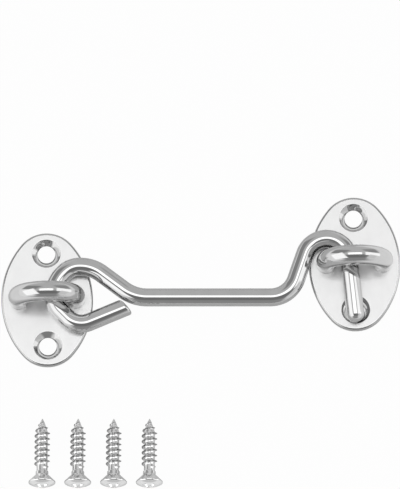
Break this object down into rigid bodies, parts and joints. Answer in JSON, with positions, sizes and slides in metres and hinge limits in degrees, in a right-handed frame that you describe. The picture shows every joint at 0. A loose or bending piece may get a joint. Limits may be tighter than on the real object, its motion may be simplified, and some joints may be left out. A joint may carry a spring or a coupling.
{
  "type": "hook and eye latch",
  "caption": "Polished wire cabin hook that swings on a staple riveted to an oval plate and drops its nose into a matching staple plate, with loose countersunk wood screws.",
  "frame": {"origin": "middle of the hook plate's two screw holes, on the plate's back face", "axes": "+X from the hook plate towards the eye plate, +Z out of the plates' faces, +Y the way the hook's nose is bent"},
  "size_m": [0.1108, 0.081, 0.0165],
  "materials": {
    "plate_steel": "polished",
    "staple_steel": "mirror polished",
    "hook_steel": "mirror polished",
    "screw_steel": "bright as rolled"
  },
  "bodies": {
    "hook_plate": {"hook_plate": "plate_steel", "hook_staple": "staple_steel"},
    "hook": {"hook": "hook_steel"},
    "eye_plate": {"eye_plate": "plate_steel", "eye_staple": "staple_steel"},
    "screw_1": {"screw_1": "screw_steel"},
    "screw_2": {"screw_2": "screw_steel"},
    "screw_3": {"screw_3": "screw_steel"},
    "screw_4": {"screw_4": "screw_steel"}
  },
  "joints": [
    {"name": "hook_swing", "type": "hinge", "parent": "hook_plate", "child": "hook", "pos_m": [0.0079, 0, 0.0047], "axis": [0, 0, 1], "range_deg": [0, 135]},
    {"name": "eye_plate_release", "type": "slide", "parent": "hook_plate", "child": "eye_plate", "axis": [0, -1, 0], "range_m": [0, 0.025]},
    {"name": "screw_1_lift", "type": "slide", "parent": "hook_plate", "child": "screw_1", "axis": [0, 0, 1], "range_m": [0, 0.03]},
    {"name": "screw_2_lift", "type": "slide", "parent": "hook_plate", "child": "screw_2", "axis": [0, 0, 1], "range_m": [0, 0.03]},
    {"name": "screw_3_lift", "type": "slide", "parent": "hook_plate", "child": "screw_3", "axis": [0, 0, 1], "range_m": [0, 0.03]},
    {"name": "screw_4_lift", "type": "slide", "parent": "hook_plate", "child": "screw_4", "axis": [0, 0, 1], "range_m": [0, 0.03]}
  ]
}
